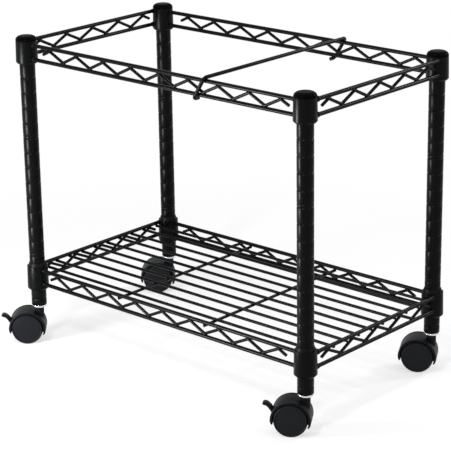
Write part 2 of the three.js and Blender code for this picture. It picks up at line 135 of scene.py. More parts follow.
TOP = Level(
    "top", upper_wire=512.4, zigzag_shift=7.0, collar_foot=481.0, collar_height=37.5,
    sleeve_foot=482.3)
SHELF = Level(
    "shelf", upper_wire=128.0, zigzag_shift=0.0, collar_foot=94.0, collar_height=41.0,
    sleeve_foot=101.3)
LEVELS = (TOP, SHELF)


@dataclass(frozen=True)
class Plan:
    """Where the posts stand on the floor, and how far outside their middles the rails run."""

    axes: dict[Corner, Vector]
    long_out: float = 2.0
    side_out: float = 10.5

    @classmethod
    def from_frame(cls) -> "Plan":
        """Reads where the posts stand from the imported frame.

        Returns:
            The plan, in millimetres.
        """
        axes = {}
        for corner in Corner:
            low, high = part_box(f"post_{corner.label}")
            middle = (low + high) / (2 * MM)
            axes[corner] = Vector((middle.x, middle.y, 0))
        return cls(axes)

    @property
    def centre(self) -> Vector:
        """The middle of the four posts, on the floor."""
        return sum(self.axes.values(), Vector((0, 0, 0))) / len(self.axes)

    @property
    def span_x(self) -> float:
        """The distance between the posts along X."""
        return self.axes[Corner.FRONT_RIGHT].x - self.axes[Corner.FRONT_LEFT].x

    @property
    def span_y(self) -> float:
        """The distance between the posts along Y."""
        return self.axes[Corner.BACK_LEFT].y - self.axes[Corner.FRONT_LEFT].y

    @property
    def rail_x(self) -> float:
        """How far the side rails are from the centre."""
        return self.span_x / 2 + self.side_out

    @property
    def rail_y(self) -> float:
        """How far the long rails are from the centre."""
        return self.span_y / 2 + self.long_out


def linear(hex_colour: str) -> tuple[float, float, float, float]:
    """Turns an sRGB hex colour into linear RGBA.

    Args:
        hex_colour: Six hex digits after a "#".

    Returns:
        Linear red, green and blue, and an alpha of 1.
    """
    channels = [int(hex_colour[i:i + 2], 16) / 255 for i in (1, 3, 5)]
    return (*(c / 12.92 if c <= 0.04045 else ((c + 0.055) / 1.055) ** 2.4 for c in channels), 1.0)


def per_metre(size: float) -> float:
    """The texture scale that gives a pattern of this size in millimetres on Object coordinates."""
    return 1 / (size * MM)


def add_node(
    tree: bpy.types.NodeTree,
    kind: str,
    settings: dict[str, Any] | None = None,
    inputs: dict[str | int, Any] | None = None,
) -> bpy.types.Node:
    """Adds a node with its settings, and sets or links its inputs.

    Args:
        tree: The tree that gets the node.
        kind: Blender's name of the node type.
        settings: The node's own properties.
        inputs: A value or an output socket for each input, by name or number.

    Returns:
        The new node.
    """
    node = tree.nodes.new(kind)
    for key, value in (settings or {}).items():
        setattr(node, key, value)
    for key, value in (inputs or {}).items():
        if isinstance(value, bpy.types.NodeSocket):
            tree.links.new(value, node.inputs[key])
        else:
            node.inputs[key].default_value = value
    return node


@dataclass(frozen=True)
class Finish:
    """A surface finish, from what the piece is made of and how its surface was made.

    The colour drifts between two near tones over patches of mottle_size, the roughness drifts with
    it, and a grain of grain_size stands grain_height proud.
    """

    name: str
    slot: str
    colour: str
    second_colour: str
    roughness: float
    roughness_drift: float
    mottle_size: float
    grain_size: float
    grain_height: float
    metallic: float = 0.0
    specular: float = 0.5

    def grain(self, tree: bpy.types.NodeTree, place: bpy.types.NodeSocket) -> bpy.types.NodeSocket:
        """The height of the surface's grain, from 0 to 1.

        Args:
            tree: The material's node tree.
            place: Object coordinates.

        Returns:
            The socket that gives the height.
        """
        noise = add_node(tree, "ShaderNodeTexNoise", None, {
            "Vector": place, "Scale": per_metre(self.grain_size), "Detail": 2.0, "Roughness": 0.5})
        return noise.outputs["Fac"]

    def material(self) -> bpy.types.Material:
        """Builds the finish as a node material.

        Returns:
            The material.
        """
        made = bpy.data.materials.new(self.name)
        made.use_nodes = True
        tree = made.node_tree
        tree.nodes.clear()
        place = add_node(tree, "ShaderNodeTexCoord").outputs["Object"]
        mottle = add_node(tree, "ShaderNodeTexNoise", None, {
            "Vector": place, "Scale": per_metre(self.mottle_size), "Detail": 4.0, "Roughness": 0.6})
        colour = add_node(tree, "ShaderNodeMix", {"data_type": "RGBA"}, {
            0: mottle.outputs["Fac"], 6: linear(self.colour), 7: linear(self.second_colour)})
        roughness = add_node(tree, "ShaderNodeMapRange", None, {
            "Value": mottle.outputs["Fac"], "From Min": 0.3, "From Max": 0.7,
            "To Min": self.roughness - self.roughness_drift,
            "To Max": self.roughness + self.roughness_drift})
        bump = add_node(tree, "ShaderNodeBump", None, {
            "Strength": 1.0, "Distance": self.grain_height * MM, "Height": self.grain(tree, place)})
        shader = add_node(tree, "ShaderNodeBsdfPrincipled", None, {
            "Base Color": colour.outputs[2], "Roughness": roughness.outputs["Result"],
            "Metallic": self.metallic, "Specular IOR Level": self.specular,
            "Normal": bump.outputs["Normal"]})
        add_node(tree, "ShaderNodeOutputMaterial", None, {"Surface": shader.outputs["BSDF"]})
        return made


@dataclass(frozen=True)
class MouldedFinish(Finish):
    """A moulded plastic, whose skin copies the fine pits of a spark-eroded mould.

    The pits are about 0.1 mm across on a real part and are drawn at about 1 mm, so that the render
    shows them.
    """

    def grain(self, tree: bpy.types.NodeTree, place: bpy.types.NodeSocket) -> bpy.types.NodeSocket:
        """The height of the mould's pits, from 0 to 1.

        Args:
            tree: The material's node tree.
            place: Object coordinates.

        Returns:
            The socket that gives the height.
        """
        pits = add_node(tree, "ShaderNodeTexVoronoi", {"feature": "SMOOTH_F1"}, {
            "Vector": place, "Scale": per_metre(self.grain_size), "Smoothness": 0.6})
        return pits.outputs["Distance"]


@dataclass(frozen=True)
class TurnedFinish(Finish):
    """A turned metal, with fine lines around its upright axis.

    The lines are about 0.15 mm apart on a real part and are drawn at 0.6 mm, so that the render
    shows them. They are longer than they are wide by stretch.
    """

    stretch: float = 40.0

    def grain(self, tree: bpy.types.NodeTree, place: bpy.types.NodeSocket) -> bpy.types.NodeSocket:
        """The height of the turning lines, from 0 to 1.

        Args:
            tree: The material's node tree.
            place: Object coordinates.

        Returns:
            The socket that gives the height.
        """
        across = 1 / self.stretch
        squeezed = add_node(tree, "ShaderNodeMapping", None, {
            "Vector": place, "Scale": (across, across, 1.0)})
        lines = add_node(tree, "ShaderNodeTexNoise", None, {
            "Vector": squeezed.outputs["Vector"], "Scale": per_metre(self.grain_size),
            "Detail": 3.0})
        return lines.outputs["Fac"]


# Black polyester powder coat, baked on steel: a deep semi-gloss black with a soft orange peel. The
# peel is about 1 mm across on the real coat and is drawn at 2.4 mm, so that the render shows it.
POWDER_COAT = Finish(
    name="powder_coated_steel", slot="powder_coat", colour="#030304", second_colour="#060708",
    roughness=0.3, roughness_drift=0.05, mottle_size=45.0, grain_size=2.4, grain_height=0.05,
    specular=0.065)

# Injection-moulded polypropylene: a smooth dull black, with only a faint sheen on the dome.
CAP_PLASTIC = MouldedFinish(
    name="moulded_polypropylene_cap", slot="cap_plastic", colour="#050506", second_colour="#08090a",
    roughness=0.3, roughness_drift=0.05, mottle_size=20.0, grain_size=1.1, grain_height=0.03,
    specular=0.006)

# Injection-moulded polyethylene: a duller black than the coat beside it.
SLEEVE_PLASTIC = MouldedFinish(
    name="moulded_polyethylene_sleeve", slot="sleeve_plastic", colour="#08090a",
    second_colour="#0d0e10", roughness=0.42, roughness_drift=0.06, mottle_size=18.0,
    grain_size=1.2, grain_height=0.04, specular=0.06)

# Injection-moulded nylon with a spark-eroded skin: charcoal, with a broad satin sheen on the dome.
HOOD_NYLON = MouldedFinish(
    name="moulded_nylon_hood", slot="hood_plastic", colour="#0e0f12", second_colour="#131417",
    roughness=0.42, roughness_drift=0.05, mottle_size=22.0, grain_size=0.9, grain_height=0.04,
    specular=0.06)

# Injection-moulded nylon, rubbed dull by rolling: charcoal, flat and nearly without highlights.
WHEEL_NYLON = MouldedFinish(
    name="moulded_nylon_wheel", slot="wheel_plastic", colour="#0f1013", second_colour="#131418",
    roughness=0.5, roughness_drift=0.06, mottle_size=16.0, grain_size=1.0, grain_height=0.05,
    specular=0.1)

# Injection-moulded nylon, polished by shoes: black, with a small clear highlight along the curl.
LEVER_NYLON = MouldedFinish(
    name="moulded_nylon_lever", slot="lever_plastic", colour="#08090a", second_colour="#0d0e10",
    roughness=0.32, roughness_drift=0.06, mottle_size=12.0, grain_size=0.9, grain_height=0.03,
    specular=0.08)

# Bright zinc plate on turned steel: a clear silver with faint rings from the lathe tool.
ZINC_PLATE = TurnedFinish(
    name="zinc_plated_turned_steel", slot="zinc_plate", colour="#d8dadc", second_colour="#c6c9cc",
    roughness=0.24, roughness_drift=0.06, mottle_size=9.0, grain_size=0.6, grain_height=0.02,
    metallic=1.0)

FINISHES = (
    POWDER_COAT, CAP_PLASTIC, SLEEVE_PLASTIC, HOOD_NYLON, WHEEL_NYLON, LEVER_NYLON, ZINC_PLATE)


class Workshop:
    """Makes the materials once, and makes meshes the pieces that stand for CAD nodes."""

    smooth_angle = math.radians(38)

    def __init__(self) -> None:
        """Makes every finish's material."""
        self.materials = {finish.slot: finish.material() for finish in FINISHES}

    def piece(self, mesh: bpy.types.Mesh, node: str, body: str, finish: Finish) -> None:
        """Makes a mesh the piece that stands for a CAD node, on that node's body.

        Args:
            mesh: The finished mesh, in metres in the row frame.
            node: The CAD node that it stands for.
            body: The CAD body that it rides on.
            finish: The finish that it gets.
        """
        mesh.materials.clear()
        mesh.materials.append(self.materials[finish.slot])
        mesh.shade_smooth()
        mesh.set_sharp_from_angle(angle=self.smooth_angle)
        made = bpy.data.objects.new(f"{node}_finished", mesh)
        bpy.context.scene.collection.objects.link(made)
        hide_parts(node)
        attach(made, body)
        log.info("%s: %d faces on %s", made.name, len(mesh.polygons), body)


@dataclass
class Draft:
    """Vertices and faces, in millimetres, that are drawn shape by shape and become one mesh."""

    vertices: list[Vector] = field(default_factory=list)
    faces: list[list[int]] = field(default_factory=list)
    same_point: float = 0.002

    def add(
        self, points: Iterable[Sequence[float]], faces: Iterable[Sequence[int]], place: Matrix
    ) -> None:
        """Adds one closed shape.

        Args:
            points: The shape's points in its own frame.
            faces: Its faces, as numbers of those points.
            place: Where its frame stands.
        """
        first = len(self.vertices)
        self.vertices.extend(place @ Vector(point) for point in points)
        self.faces.extend([first + i for i in face] for face in faces)

    def turned(
        self, profile: Profile, place: Matrix, segments: int, arc: float = math.tau
    ) -> None:
        """Adds a solid turned about its frame's Z axis.

        Args:
            profile: The closed section as (radius, height) points.
            place: Where the frame stands.
            segments: Steps round the arc.
            arc: How far it is turned, in radians; less than a full turn leaves a slit.
        """
        whole = arc >= math.tau
        rings = segments if whole else segments + 1
        count = len(profile)
        points = []
        for i in range(rings):
            angle = (math.tau - arc) / 2 + arc * i / segments
            points += [(r * math.cos(angle), r * math.sin(angle), z) for r, z in profile]
        faces = []
        for i in range(segments):
            here, there = i * count, (i + 1) % rings * count
            for j in range(count):
                k = (j + 1) % count
                faces.append((here + j, there + j, there + k, here + k))
        if not whole:
            faces += [tuple(range(count)), tuple(range(segments * count, rings * count))]
        self.add(points, faces, place)

    def swept(self, sections: Sequence[Sequence[Vector]], place: Matrix) -> None:
        """Adds a solid through closed sections that all have as many points.

        Args:
            sections: The sections in order; the first and last are filled in.
            place: Where the solid's frame stands.
        """
        count = len(sections[0])
        points = [point for section in sections for point in section]
        faces = [tuple(range(count)), tuple(range(len(points) - count, len(points)))]
        for i in range(len(sections) - 1):
            here, there = i * count, (i + 1) * count
            for j in range(count):
                k = (j + 1) % count
                faces.append((here + j, here + k, there + k, there + j))
        self.add(points, faces, place)

    def sheet(
        self,
        outer: Sequence[Sequence[Vector]],
        inner: Sequence[Sequence[Vector]],
        kept: Callable[[int, int], bool],
        place: Matrix,
    ) -> None:
        """Adds a thick curved sheet, walled round its edge and round what is cut away.

        Args:
            outer: Rows of points on its outer face.
            inner: The same rows on its inner face.
            kept: Says whether the cell at a row and a column is part of the sheet.
            place: Where the sheet's frame stands.
        """
        rows, columns = len(outer), len(outer[0])
        under = rows * columns
        inside = {(i, j) for i in range(rows - 1) for j in range(columns - 1) if kept(i, j)}
        faces = []
        for i, j in sorted(inside):
            first, second = i * columns + j, (i + 1) * columns + j
            loop = [first, first + 1, second + 1, second]
            faces += [tuple(loop), tuple(under + point for point in reversed(loop))]
            beside = [(i - 1, j), (i, j + 1), (i + 1, j), (i, j - 1)]
            for k, cell in enumerate(beside):
                if cell not in inside:
                    start, end = loop[k], loop[(k + 1) % 4]
                    faces.append((end, start, under + start, under + end))
        points = [point for face in (outer, inner) for row in face for point in row]
        self.add(points, faces, place)

    def mesh(self, name: str) -> bpy.types.Mesh:
        """Makes the draft a mesh in metres, its doubles merged and its faces turned out.

        Args:
            name: The mesh's name.

        Returns:
            The mesh.
        """
        made = bpy.data.meshes.new(name)
        made.from_pydata([point * MM for point in self.vertices], [], self.faces)
        near = self.same_point * MM
        work = bmesh.new()
        work.from_mesh(made)
        bmesh.ops.remove_doubles(work, verts=work.verts, dist=near)
        bmesh.ops.dissolve_degenerate(work, edges=work.edges, dist=near)
        loose = [point for point in work.verts if not point.link_faces]
        bmesh.ops.delete(work, geom=loose, context="VERTS")
        bmesh.ops.recalc_face_normals(work, faces=work.faces)
        work.to_mesh(made)
        work.free()
        return made


def rounded(points: Profile, radius: float, steps: int = 3, keep_axis: bool = True) -> Profile:
    """Rounds the corners of a closed section.

    Args:
        points: The section's corners.
        radius: How far from each corner its rounding starts, less on short edges.
        steps: Steps in each rounding.
        keep_axis: Leaves corners on the axis of a turned section as they are.

    Returns:
        The rounded section.
    """
    most_of_edge, least_reach, on_axis = 0.48, 1e-3, 1e-6
    made: Profile = []
    for i, corner in enumerate(points):
        here = Vector(corner)
        before, after = Vector(points[i - 1]) - here, Vector(points[(i + 1) % len(points)]) - here
        reach = min(radius, most_of_edge * before.length, most_of_edge * after.length)
        if (keep_axis and here.x < on_axis) or reach < least_reach:
            made.append(corner)
            continue
        start, end = here + before.normalized() * reach, here + after.normalized() * reach
        for step in range(steps + 1):
            t = step / steps
            point = start.lerp(here, t).lerp(here.lerp(end, t), t)
            made.append((point.x, point.y))
    return made


def pin(radius: float, low: float, high: float) -> Profile:
    """The section of a solid round pin from one height to another."""
    return [(0, low), (radius, low), (radius, high), (0, high)]


@dataclass(frozen=True)
class Wire:
    """A bent round wire: its path, its radius and the radius of its bends."""

    path: tuple[Vector, ...]
    radius: float
    bend: float = 0.0


@dataclass(frozen=True)
class Bead:
    """A weld bead under the coat: where it sits and its half sizes."""

    place: Vector
    half_sizes: Vector


class GrowthTree:
    """A Geometry Nodes tree, whose inputs are set by their sockets' identifiers."""

    def __init__(self, name: str) -> None:
        """Starts an empty tree.

        Args:
            name: The tree's name.
        """
        self.tree = bpy.data.node_groups.new(name, "GeometryNodeTree")

    def socket(self, name: str, kind: str, way: str = "INPUT") -> str:
        """Adds a named socket to the tree.

        Args:
            name: The socket's name.
            kind: What it carries, such as Geometry or Int.
            way: INPUT or OUTPUT.

        Returns:
            The socket's identifier.
        """
        face = self.tree.interface
        return face.new_socket(name, in_out=way, socket_type=f"NodeSocket{kind}").identifier

    def finish(
        self, grown: bpy.types.NodeSocket, material: bpy.types.NodeSocket, output: str
    ) -> None:
        """Ends the tree: makes what has grown real, coats it and puts it out.

        Args:
            grown: The geometry that has grown.
            material: The material that it gets.
            output: The name of the tree's output.
        """
        real = add_node(self.tree, "GeometryNodeRealizeInstances", None, {"Geometry": grown})
        coated = add_node(self.tree, "GeometryNodeSetMaterial", None, {
            "Geometry": real.outputs["Geometry"], "Material": material})
        add_node(self.tree, "NodeGroupOutput", None, {output: coated.outputs["Geometry"]})


class WireTree(GrowthTree):
    """The node tree that turns drawn paths into round wire with rounded bends."""

    radius_name = "wire_radius"
    bend_name = "bend_radius"

    def __init__(self) -> None:
        """Builds the tree with its named inputs."""
        super().__init__("bent_round_wire")
        self.socket("Paths", "Geometry")
        self.sides = self.socket("Sides", "Int")
        self.bend_steps = self.socket("Bend Steps", "Int")
        self.material = self.socket("Material", "Material")
        self.socket("Wire", "Geometry", "OUTPUT")
        tree = self.tree
        given = add_node(tree, "NodeGroupInput")
        radius = add_node(tree, "GeometryNodeInputNamedAttribute", {"data_type": "FLOAT"}, {
            "Name": self.radius_name})
        bend = add_node(tree, "GeometryNodeInputNamedAttribute", {"data_type": "FLOAT"}, {
            "Name": self.bend_name})
        curve = add_node(tree, "GeometryNodeMeshToCurve", None, {"Mesh": given.outputs["Paths"]})
        bent = add_node(tree, "GeometryNodeFilletCurve", {"mode": "POLY"}, {
            "Curve": curve.outputs["Curve"], "Count": given.outputs["Bend Steps"],
            "Radius": bend.outputs["Attribute"], "Limit Radius": True})
        section = add_node(tree, "GeometryNodeCurvePrimitiveCircle", {"mode": "RADIUS"}, {
            "Resolution": given.outputs["Sides"], "Radius": 1.0})
        wire = add_node(tree, "GeometryNodeCurveToMesh", None, {
            "Curve": bent.outputs["Curve"], "Profile Curve": section.outputs["Curve"],
            "Scale": radius.outputs["Attribute"], "Fill Caps": True})
        self.finish(wire.outputs["Mesh"], given.outputs["Material"], "Wire")


class BeadTree(GrowthTree):
    """The node tree that sets a weld bead, a little different each time, on every point."""

    size_name = "bead_size"

    def __init__(self) -> None:
        """Builds the tree with its named inputs."""
        super().__init__("weld_beads")
        self.socket("Points", "Geometry")
        self.unevenness = self.socket("Unevenness", "Float")
        self.seed = self.socket("Seed", "Int")
        self.material = self.socket("Material", "Material")
        self.socket("Beads", "Geometry", "OUTPUT")
        tree = self.tree
        given = add_node(tree, "NodeGroupInput")
        size = add_node(tree, "GeometryNodeInputNamedAttribute", {"data_type": "FLOAT_VECTOR"}, {
            "Name": self.size_name})
        least = add_node(tree, "ShaderNodeMath", {"operation": "SUBTRACT"}, {
            0: 1.0, 1: given.outputs["Unevenness"]})
        most = add_node(tree, "ShaderNodeMath", {"operation": "ADD"}, {
            0: 1.0, 1: given.outputs["Unevenness"]})
        chance = add_node(tree, "FunctionNodeRandomValue", {"data_type": "FLOAT"}, {
            2: least.outputs[0], 3: most.outputs[0], "Seed": given.outputs["Seed"]})
        scale = add_node(tree, "ShaderNodeVectorMath", {"operation": "SCALE"}, {
            0: size.outputs["Attribute"], "Scale": chance.outputs[1]})
        ball = add_node(tree, "GeometryNodeMeshIcoSphere", None, {"Radius": 1.0, "Subdivisions": 2})
        beads = add_node(tree, "GeometryNodeInstanceOnPoints", None, {
            "Points": given.outputs["Points"], "Instance": ball.outputs["Mesh"],
            "Scale": scale.outputs["Vector"]})
        self.finish(beads.outputs["Instances"], given.outputs["Material"], "Beads")


class WireBench:
    """Bends wire and sets weld beads through the two node trees, and joins them as one mesh."""

    sides = 16
    bend_steps = 7
    unevenness = 0.12

    def __init__(self, material: bpy.types.Material) -> None:
        """Builds the trees.

        Args:
            material: The coat on wires and beads.
        """
        self.material = material
        self.wire_tree = WireTree()
        self.bead_tree = BeadTree()

    def mesh(
        self, name: str, wires: Sequence[Wire], beads: Sequence[Bead] = (), seed: int = 0
    ) -> bpy.types.Mesh:
        """Makes one mesh of wires and beads.

        Args:
            name: The mesh's name.
            wires: The wires, in the row frame.
            beads: The beads, in the row frame.
            seed: The seed of the beads' unevenness.

        Returns:
            The mesh, in metres.
        """
        work = bmesh.new()
        parts = [self._bent(wires)]
        if beads:
            parts.append(self._welded(beads, seed))
        for part in parts:
            work.from_mesh(part)
            bpy.data.meshes.remove(part)
        bmesh.ops.recalc_face_normals(work, faces=work.faces)
        made = bpy.data.meshes.new(name)
        work.to_mesh(made)
        work.free()
        return made

    def _bent(self, wires: Sequence[Wire]) -> bpy.types.Mesh:
        """Runs the wire tree on the wires' paths.

        Args:
            wires: The wires.

        Returns:
            The wires' mesh.
        """
        points, edges, radii, bends = [], [], [], []
        for wire in wires:
            first, count = len(points), len(wire.path)
            points += [point * MM for point in wire.path]
            edges += [(first + i, first + i + 1) for i in range(count - 1)]
            radii += [wire.radius * MM] * count
            bends += [wire.bend * MM] * count
        paths = bpy.data.meshes.new("wire_paths")
        paths.from_pydata(points, edges, [])
        tree = self.wire_tree
        for name, values in ((tree.radius_name, radii), (tree.bend_name, bends)):
            paths.attributes.new(name, "FLOAT", "POINT").data.foreach_set("value", values)
        return self._grown(paths, tree.tree, {
            tree.sides: self.sides, tree.bend_steps: self.bend_steps, tree.material: self.material})

    def _welded(self, beads: Sequence[Bead], seed: int) -> bpy.types.Mesh:
        """Runs the bead tree on the beads' places.

        Args:
            beads: The beads.
            seed: The seed of their unevenness.

        Returns:
            The beads' mesh.
        """
        spots = bpy.data.meshes.new("weld_spots")
        spots.from_pydata([bead.place * MM for bead in beads], [], [])
        tree = self.bead_tree
        sizes = [value * MM for bead in beads for value in bead.half_sizes]
        size = spots.attributes.new(tree.size_name, "FLOAT_VECTOR", "POINT")
        size.data.foreach_set("vector", sizes)
        return self._grown(spots, tree.tree, {
            tree.unevenness: self.unevenness, tree.seed: seed, tree.material: self.material})

    @staticmethod
    def _grown(
        drawn: bpy.types.Mesh, tree: bpy.types.NodeTree, values: dict[str, Any]
    ) -> bpy.types.Mesh:
        """Runs a tree on a drawn mesh.

        Args:
            drawn: The mesh that the tree reads; it is removed.
            tree: The node tree.
            values: The tree's inputs by socket identifier.

        Returns:
            The result as a plain mesh.
        """
        holder = bpy.data.objects.new(drawn.name, drawn)
        bpy.context.scene.collection.objects.link(holder)
        modifier = holder.modifiers.new(tree.name, "NODES")
        modifier.node_group = tree
        for identifier, value in values.items():
            modifier[identifier] = value
        graph = bpy.context.evaluated_depsgraph_get()
        made = bpy.data.meshes.new_from_object(holder.evaluated_get(graph))
        bpy.data.objects.remove(holder)
        bpy.data.meshes.remove(drawn)
        return made


@dataclass
class PostCorner:
    """A corner post with its cap, collars, split sleeves and the socket in its foot."""

    corner: Corner
    axis: Vector
    segments: int = 56
    radius: float = 12.7
    wall: float = 1.6
    foot: float = 65.5
    length: float = 457.2
    end_ease: Pair = (0.5, 0.7)
    groove_pitch: float = 25.4
    first_groove: float = 12.0
    groove_depth: float = 0.8
    groove_width: float = 2.8
    groove_steps: int = 8
    double_grooves: tuple[int, ...] = (3, 11)
    double_rise: float = 5.0
    collar_radius: float = 18.0
    collar_top_radius: float = 17.2
    collar_bore: float = 15.5
    collar_chamfer: float = 2.6
    collar_edge: float = 0.6
    sleeve_radius: float = 15.2
    sleeve_bore: float = 13.0
    sleeve_height: float = 39.6
    sleeve_cone: float = 6.0
    sleeve_lip: float = 0.5
    sleeve_slit: float = 0.1
    sleeve_edge: float = 0.8
    cap_foot: float = 523.0
    cap_thickness: float = 3.0
    cap_crown: float = 0.2
    cap_dome: float = 8.0
    cap_dome_steps: int = 9
    cap_skirt: float = 4.2
    cap_skirt_ease: Pair = (0.3, 0.4)
    cap_plug_radius: float = 10.2
    cap_plug_length: float = 14.0
    socket_lip: float = 3.5
    socket_lip_radius: float = 12.0
    socket_lip_gap: float = 0.2
    socket_radius: float = 10.2
    socket_bore: float = 5.8
    socket_length: float = 36.0
    socket_edge: float = 0.9

    def build(self, shop: Workshop) -> None:
        """Builds the corner's pieces.

        Args:
            shop: The workshop that finishes them.
        """
        end = self.corner.label
        self._fit(shop, self.post_profile(), self.foot, f"post_{end}", POWDER_COAT)
        self._fit(shop, self.cap_profile(), self.cap_foot, f"post_cap_{end}", CAP_PLASTIC)
        for level in LEVELS:
            self._fit(
                shop, self.collar_profile(level.collar_height), level.collar_foot,
                f"{level.name}_collar_{end}", POWDER_COAT)
            self._fit(
                shop, self.sleeve_profile(), level.sleeve_foot, f"{level.name}_sleeve_{end}",
                SLEEVE_PLASTIC, math.tau - self.sleeve_slit)
        self._fit(shop, self.socket_profile(), self.foot, f"stem_socket_{end}", ZINC_PLATE)

    def _fit(
        self, shop: Workshop, profile: Profile, foot: float, node: str, finish: Finish,
        arc: float = math.tau,
    ) -> None:
        """Turns a profile about the post's axis and makes it a piece of the frame.

        Args:
            shop: The workshop that finishes it.
            profile: The profile, with heights from its foot.
            foot: The height of its foot.
            node: The CAD node that it stands for.
            finish: The finish that it gets.
            arc: How far it is turned, in radians.
        """
        draft = Draft()
        place = Matrix.Translation(self.axis + Vector((0, 0, foot)))
        draft.turned(profile, place, self.segments, arc)
        shop.piece(draft.mesh(node), node, "frame", finish)

    def groove_heights(self) -> list[float]:
        """Works out where the grooves are rolled, with the doubled ones.

        Returns:
            The grooves' heights above the post's foot.
        """
        count = int((self.length - self.first_groove - self.groove_width) / self.groove_pitch) + 1
        heights = [self.first_groove + i * self.groove_pitch for i in range(count)]
        heights += [heights[i] + self.double_rise for i in self.double_grooves]
        return sorted(heights)

    def post_profile(self) -> Profile:
        """Draws the tube's wall, with round-bottomed grooves rolled into it and eased ends.

        Returns:
            The wall's section.
        """
        bore = self.radius - self.wall
        inward, upward = self.end_ease
        wall = [(bore, 0), (self.radius - inward, 0), (self.radius, upward)]
        for height in self.groove_heights():
            for step in range(self.groove_steps + 1):
                across = 2 * step / self.groove_steps - 1
                depth = self.groove_depth * (1 + math.cos(math.pi * across)) / 2
                wall.append((self.radius - depth, height + across * self.groove_width / 2))
        return wall + [
            (self.radius, self.length - upward), (self.radius - inward, self.length),
            (bore, self.length)]

    def cap_profile(self) -> Profile:
        """Draws a plug under a dome, whose skirt comes down to the collar round the sleeve's top.

        Returns:
            The cap's section.
        """
        plug, plug_foot = self.cap_plug_radius, -self.cap_plug_length
        rim, skirt_foot = self.collar_top_radius, -self.cap_skirt
        inward, upward = self.cap_skirt_ease
        section = [
            (0, plug_foot), (plug, plug_foot), (plug, 0), (self.collar_bore, 0),
            (self.collar_bore, skirt_foot), (rim - inward, skirt_foot)]
        flat, dome_foot = rim - self.cap_dome, skirt_foot + upward
        rise = self.cap_thickness - dome_foot
        for step in range(self.cap_dome_steps + 1):
            turn = math.pi / 2 * step / self.cap_dome_steps
            section.append(
                (flat + self.cap_dome * math.cos(turn), dome_foot + rise * math.sin(turn)))
        return section + [(0, self.cap_thickness + self.cap_crown)]

    def collar_profile(self, height: float) -> Profile:
        """Draws a tapered ring with a chamfered foot and an eased top.

        Args:
            height: The ring's height.

        Returns:
            The ring's section.
        """
        return rounded([
            (self.collar_bore, 0), (self.collar_radius - self.collar_chamfer, 0),
            (self.collar_radius, self.collar_chamfer), (self.collar_top_radius, height),
            (self.collar_bore, height)], self.collar_edge)

    def sleeve_profile(self) -> Profile:
        """Draws a ring with a cone at its top, snapped round the post.

        Returns:
            The ring's section.
        """
        bore, height = self.sleeve_bore, self.sleeve_height
        return rounded([
            (bore, 0), (self.sleeve_radius, 0), (self.sleeve_radius, height - self.sleeve_cone),
            (bore + self.sleeve_lip, height), (bore, height)], self.sleeve_edge)

    def socket_profile(self) -> Profile:
        """Draws a tube in the post's foot with a lip below it.

        Returns:
            The tube's section.
        """
        bore, lip = self.socket_bore, self.socket_lip_radius
        return rounded([
            (bore, -self.socket_lip), (lip, -self.socket_lip), (lip, -self.socket_lip_gap),
            (self.socket_radius, -self.socket_lip_gap), (self.socket_radius, self.socket_length),
            (bore, self.socket_length)], self.socket_edge)


